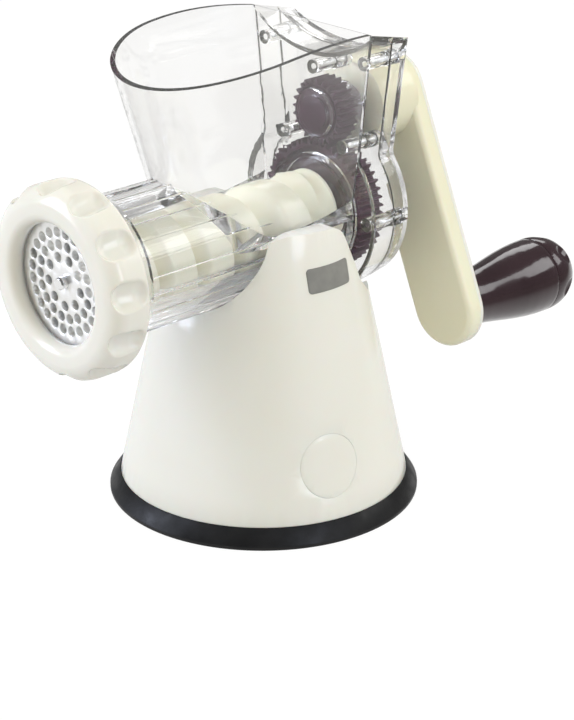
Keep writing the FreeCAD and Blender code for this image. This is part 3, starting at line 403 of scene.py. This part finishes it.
def nut_profile():
    """Closed profile of the ring nut as (y, r), from its rear inner edge forwards and round the outside."""
    profile = [(-109.0, 36.95), (-112.0, 36.9), (-117.0, 36.9), (-122.2, 36.9), (-122.35, 36.4),
               (-122.35, 32.0), (-122.35, 29.2)]
    profile += arc_points(-125.0, 33.5, 5.0, -90, 0, 12)
    profile += arc_points(-121.0, 36.8, 9.0, 4, 90, 26)
    profile += [(-120.4 + 0.6 * i, 45.8) for i in range(15)]
    return profile + [(-111.2, 45.75), (-110.4, 45.5), (-109.7, 45.0), (-109.2, 44.4), (-109.0, 43.6),
                      (-109.0, 40.5)]


def scoop_floor(y, across):
    """Radius of a thumb scoop's surface, or None beside it; across is the distance from its middle."""
    radius, start, run, height, slope = 6.8, -123.4, 6.8, 46.4, math.tan(math.radians(18.0))
    behind = y - start
    past_end = max(-behind, behind - run, 0.0)
    span = across * across + past_end * past_end
    if span >= radius * radius:
        return None
    return height + min(max(behind, 0.0), run) * slope - 1.03 * math.sqrt(radius * radius - span)


def make_nut():
    """Ring nut with twelve thumb scoops that blend softly into its outside."""
    profile, count = nut_profile(), 12 * 30
    points = []
    for y, radius in profile:
        for i in range(count):
            turn = 360.0 * i / count
            past = (turn - 23.0 + 15.0) % 30.0 - 15.0
            floor = scoop_floor(y, 45.0 * math.radians(past)) if radius > 39.0 else None
            shown = radius if floor is None else soft_least(radius, floor, 0.8)
            points.append(turned(y, shown, math.radians(turn)))
    faces = grid_faces(len(profile), count)
    last = (len(profile) - 1) * count
    faces += [(last + i, last + (i + 1) % count, (i + 1) % count, i) for i in range(count)]
    nut = new_piece("thumb_nut", points, faces, "cream_plastic", "nut")
    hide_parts("ring_nut")


def flight_profile(pitch):
    """Round the feed screw at one place as (angle, radius): crest, long fall, steep rise to the edge."""
    crest, foot, low, high = 360.0 * 12.5 / pitch, 336.0, 11.0, 19.6
    profile = [(0.0, high - 0.35), (1.2, high - 0.1)]
    profile += [(3.0 + (crest - 3.0) * i / 20, high) for i in range(21)]
    for i in range(1, 33):
        fall = 0.5 - 0.5 * math.cos(math.pi * i / 32)
        profile.append((crest + (foot - crest) * i / 32, high - (high - low) * fall))
    return profile + [(341.0, low + 1.9), (346.0, low + 4.0), (351.0, low + 6.0), (356.0, low + 7.7)]


def screw_rings():
    """Rings of points along the feed screw, from its rear flange to its front end."""
    rings, y, edge = [], 22.0, 90.0 + 360.0 * (22.0 - 13.4) / 30.4
    while y > -109.5:
        pitch = 30.4 if y > -25.5 else 22.8
        rings.append([turned(y, radius, math.radians(angle + edge)) for angle, radius in flight_profile(pitch)])
        y -= 0.55
        edge -= 360.0 * 0.55 / pitch
    return rings


def lathe(profile, count):
    """Points and faces of a solid turned about the barrel's axis; profile of (y, r) from end to end."""
    points = [turned(y, r, 2 * math.pi * i / count) for y, r in profile for i in range(count)]
    faces = grid_faces(len(profile), count)
    faces.append(tuple(reversed(range(count))))
    faces.append(tuple(range((len(profile) - 1) * count, len(profile) * count)))
    return points, faces


def joined(*solids):
    """Several point and face lists as one."""
    points, faces = [], []
    for more_points, more_faces in solids:
        faces += [tuple(i + len(points) for i in face) for face in more_faces]
        points += more_points
    return points, faces


def make_feed_screw():
    """Feed screw with sharp-edged flights, its flange, neck, square drive and front boss."""
    rings = screw_rings()
    count = len(rings[0])
    faces = [tuple(reversed(face)) for face in grid_faces(len(rings), count)]
    faces.append(tuple(range(count)))
    faces.append(tuple(reversed(range((len(rings) - 1) * count, len(rings) * count))))
    flights = ([p for ring in rings for p in ring], faces)
    flange = lathe([(21.0, 9.0), (21.0, 11.9), (24.8, 15.4), (28.3, 18.7), (28.6, 19.05), (28.9, 19.2),
                    (30.2, 19.2), (30.4, 19.0), (30.4, 10.0), (34.4, 10.0)], 120)
    boss = lathe([(-111.1, 10.4), (-110.8, 10.9), (-110.3, 11.0), (-108.0, 11.0)], 72)
    square = [(x, y, AXIS_HEIGHT + z) for y in (33.0, 46.1) for x, z in ((-6, -6), (6, -6), (6, 6), (-6, 6))]
    drive = ([(0.001 * x, 0.001 * y, 0.001 * z) for x, y, z in square],
             [(0, 1, 2, 3), (7, 6, 5, 4), (1, 0, 4, 5), (2, 1, 5, 6), (3, 2, 6, 7), (0, 3, 7, 4)])
    points, faces = joined(flights, flange, boss, drive)
    # Painted shade: the screw takes the warmer copy of the cream plastic
    screw = new_piece("feed_screw", points, faces, "cream_painted_shade", "auger")
    split = screw.modifiers.new("crease", "EDGE_SPLIT")
    split.split_angle = math.radians(32)
    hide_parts("auger")


def thread_ridge(x, z):
    """Points and faces of one screw's thread: a ridge that winds round its shank."""
    around, turns, pitch, start = 14, 12, 1.2, 53.4
    points = []
    for i in range(around * turns + 1):
        angle, y = 2 * math.pi * i / around, start - pitch * i / around
        for radius, shift in ((1.30, 0.34), (1.46, 0.0), (1.30, -0.34)):
            points.append((0.001 * (x + radius * math.sin(angle)), 0.001 * (y + shift),
                           0.001 * (z + radius * math.cos(angle))))
    faces = grid_faces(around * turns + 1, 3)
    last = 3 * around * turns
    return points, faces + [(2, 1, 0), (last, last + 1, last + 2)]


def make_threads():
    """Threads of the seven screws that hold the gear case together, seen through its clear bosses."""
    points, faces = joined(*[thread_ridge(x, z) for x, z in CASE_SCREWS])
    threads = new_piece("cover_threads", points, faces, "steel", "housing")
    for face in threads.data.polygons:
        face.use_smooth = False


def area_light(name, place, target, size, power, colour=(1.0, 1.0, 1.0)):
    data = bpy.data.lights.new(name, "AREA")
    data.shape = "RECTANGLE"
    data.size, data.size_y = size
    data.energy = power
    data.color = colour
    lamp = bpy.data.objects.new(name, data)
    bpy.context.scene.collection.objects.link(lamp)
    lamp.location = place
    lamp.rotation_euler = (Vector(target) - Vector(place)).to_track_quat("-Z", "Y").to_euler()
    return lamp


def make_lights():
    middle = (0.0, 0.0, 0.13)
    area_light("top", (-0.1, -0.15, 1.35), middle, (1.0, 1.0), 1.7, DAYLIGHT)
    area_light("left", (-0.98, -1.18, 0.62), middle, (0.5, 1.1), 12.5, DAYLIGHT)
    area_light("right", (1.45, -0.05, 0.80), middle, (0.35, 1.2), 5.8, DAYLIGHT)
    area_light("back_right", (0.85, 1.00, 0.90), (0.04, 0.12, 0.09), (0.7, 0.6), 4.0)
    area_light("back_left", (-0.60, 1.00, 0.98), (0.04, 0.12, 0.09), (0.5, 0.4), 1.6)


def world_light(nodes, colour, strength):
    light = nodes.new("ShaderNodeBackground")
    light.inputs["Color"].default_value = (*colour, 1.0)
    light.inputs["Strength"].default_value = strength
    return light


def darken_upwards(nodes, links, light, low, high):
    """Let a light of the surroundings fall from one strength near the floor to another overhead."""
    place = nodes.new("ShaderNodeSeparateXYZ")
    links.new(nodes.new("ShaderNodeTexCoord").outputs["Generated"], place.inputs["Vector"])
    fall = nodes.new("ShaderNodeMapRange")
    fall.interpolation_type = "SMOOTHSTEP"
    fall.inputs["From Min"].default_value = 0.02
    fall.inputs["From Max"].default_value = 0.36
    fall.inputs["To Min"].default_value = low
    fall.inputs["To Max"].default_value = high
    links.new(place.outputs["Z"], fall.inputs["Value"])
    links.new(fall.outputs["Result"], light.inputs["Strength"])


def make_world():
    """Soft studio: an even glow on the object, a dim room in its reflections, white behind it."""
    world = bpy.data.worlds.new("studio")
    bpy.context.scene.world = world
    world.use_nodes = True
    nodes, links = world.node_tree.nodes, world.node_tree.links
    nodes.clear()
    shown = world_light(nodes, (1.0, 0.945, 0.71), 0.80).outputs["Background"]
    path = nodes.new("ShaderNodeLightPath")
    for ray, strength in (("Is Glossy Ray", 0.16), ("Is Transmission Ray", 0.7), ("Is Camera Ray", 1.0)):
        light = world_light(nodes, (1.0, 1.0, 1.0), strength)
        if ray == "Is Transmission Ray":
            darken_upwards(nodes, links, light, strength, 0.45)
        mix = nodes.new("ShaderNodeMixShader")
        links.new(path.outputs[ray], mix.inputs["Fac"])
        links.new(shown, mix.inputs[1])
        links.new(light.outputs["Background"], mix.inputs[2])
        shown = mix.outputs["Shader"]
    output = nodes.new("ShaderNodeOutputWorld")
    links.new(shown, output.inputs["Surface"])


def shade_ramp(nodes, links, value, stops):
    """Brightness that follows a value through stops of (value, brightness)."""
    ramp = nodes.new("ShaderNodeValToRGB")
    ramp.color_ramp.interpolation = "EASE"
    for element, (position, level) in zip(ramp.color_ramp.elements, stops):
        element.position = position
        element.color = (level, level, level, 1.0)
    links.new(value, ramp.inputs["Fac"])
    return ramp.outputs["Color"]


def floor_glow(nodes, links, strength, shade):
    """Glow of the floor for one kind of ray, with painted shade on its right or in two painted dark spots."""
    glow = nodes.new("ShaderNodeEmission")
    glow.inputs["Strength"].default_value = strength
    place = nodes.new("ShaderNodeNewGeometry").outputs["Position"]
    if shade == "right":
        axes = nodes.new("ShaderNodeSeparateXYZ")
        links.new(place, axes.inputs["Vector"])
        level = shade_ramp(nodes, links, axes.outputs["X"], [(0.08, 1.0), (0.34, 0.12)])
        links.new(level, glow.inputs["Color"])
    if shade == "painted_dark_spots":
        nearest = nodes.new("ShaderNodeMath")
        nearest.operation = "MINIMUM"
        for side, centre in enumerate(((-0.31, -0.26, 0.0), (0.36, 0.31, 0.0))):
            away = nodes.new("ShaderNodeVectorMath")
            away.operation = "DISTANCE"
            away.inputs[1].default_value = centre
            links.new(place, away.inputs[0])
            links.new(away.outputs["Value"], nearest.inputs[side])
        level = shade_ramp(nodes, links, nearest.outputs[0], [(0.20, 0.12), (0.31, 1.0)])
        links.new(level, glow.inputs["Color"])
    return glow.outputs["Emission"]


def make_floor():
    """Pale floor, white to the camera, that keeps the object's shadow; through clear plastic it is white but
    for two painted dark spots, and in reflections its right carries painted shade.
    """
    bpy.ops.mesh.primitive_plane_add(size=12.0, location=(0, 0, -0.0002))
    floor = bpy.context.object
    floor.name = "floor"
    material = bpy.data.materials.new("floor_white")
    material.use_nodes = True
    nodes, links = material.node_tree.nodes, material.node_tree.links
    diffuse = nodes["Principled BSDF"]
    diffuse.inputs["Base Color"].default_value = (0.52, 0.52, 0.52, 1.0)
    diffuse.inputs["Roughness"].default_value = 0.9
    diffuse.inputs["Specular IOR Level"].default_value = 0.1
    path = nodes.new("ShaderNodeLightPath")
    shown = diffuse.outputs["BSDF"]
    # Glossy rays see painted shade on the floor's right, transmission rays two painted dark spots
    for ray, strength, shade in (("Is Glossy Ray", 0.9, "right"), ("Is Transmission Ray", 1.0, "painted_dark_spots"),
                                 ("Is Camera Ray", 1.10, None)):
        share = nodes.new("ShaderNodeMath")
        share.operation = "MULTIPLY"
        share.inputs[1].default_value = 0.86
        links.new(path.outputs[ray], share.inputs[0])
        mix = nodes.new("ShaderNodeMixShader")
        links.new(share.outputs[0], mix.inputs["Fac"])
        links.new(shown, mix.inputs[1])
        links.new(floor_glow(nodes, links, strength, shade), mix.inputs[2])
        shown = mix.outputs["Shader"]
    links.new(shown, nodes["Material Output"].inputs["Surface"])
    floor.data.materials.append(material)


def make_camera():
    azimuth, elevation = math.radians(CAMERA_AZIMUTH), math.radians(CAMERA_ELEVATION)
    back = Vector((math.cos(elevation) * math.sin(azimuth), -math.cos(elevation) * math.cos(azimuth),
                   math.sin(elevation)))
    right = Vector((math.cos(azimuth), math.sin(azimuth), 0.0))
    up = back.cross(right)
    data = bpy.data.cameras.new("camera")
    data.sensor_width = SENSOR_WIDTH
    data.lens = CAMERA_FOCAL_PIXELS / max(IMAGE_SIZE) * SENSOR_WIDTH
    data.clip_start, data.clip_end = 0.01, 50.0
    camera = bpy.data.objects.new("camera", data)
    bpy.context.scene.collection.objects.link(camera)
    turn = Matrix((right, up, back)).transposed().to_4x4()
    camera.matrix_world = Matrix.Translation(CAMERA_PLACE) @ turn
    bpy.context.scene.camera = camera


dress_nodes()
make_badge()
make_nut()
make_feed_screw()
make_threads()
make_lights()
make_world()
make_floor()
make_camera()
bpy.context.scene.view_settings.view_transform = "Standard"
bpy.context.scene.cycles.max_bounces = 24
bpy.context.scene.cycles.glossy_bounces = 12
bpy.context.scene.cycles.transmission_bounces = 24
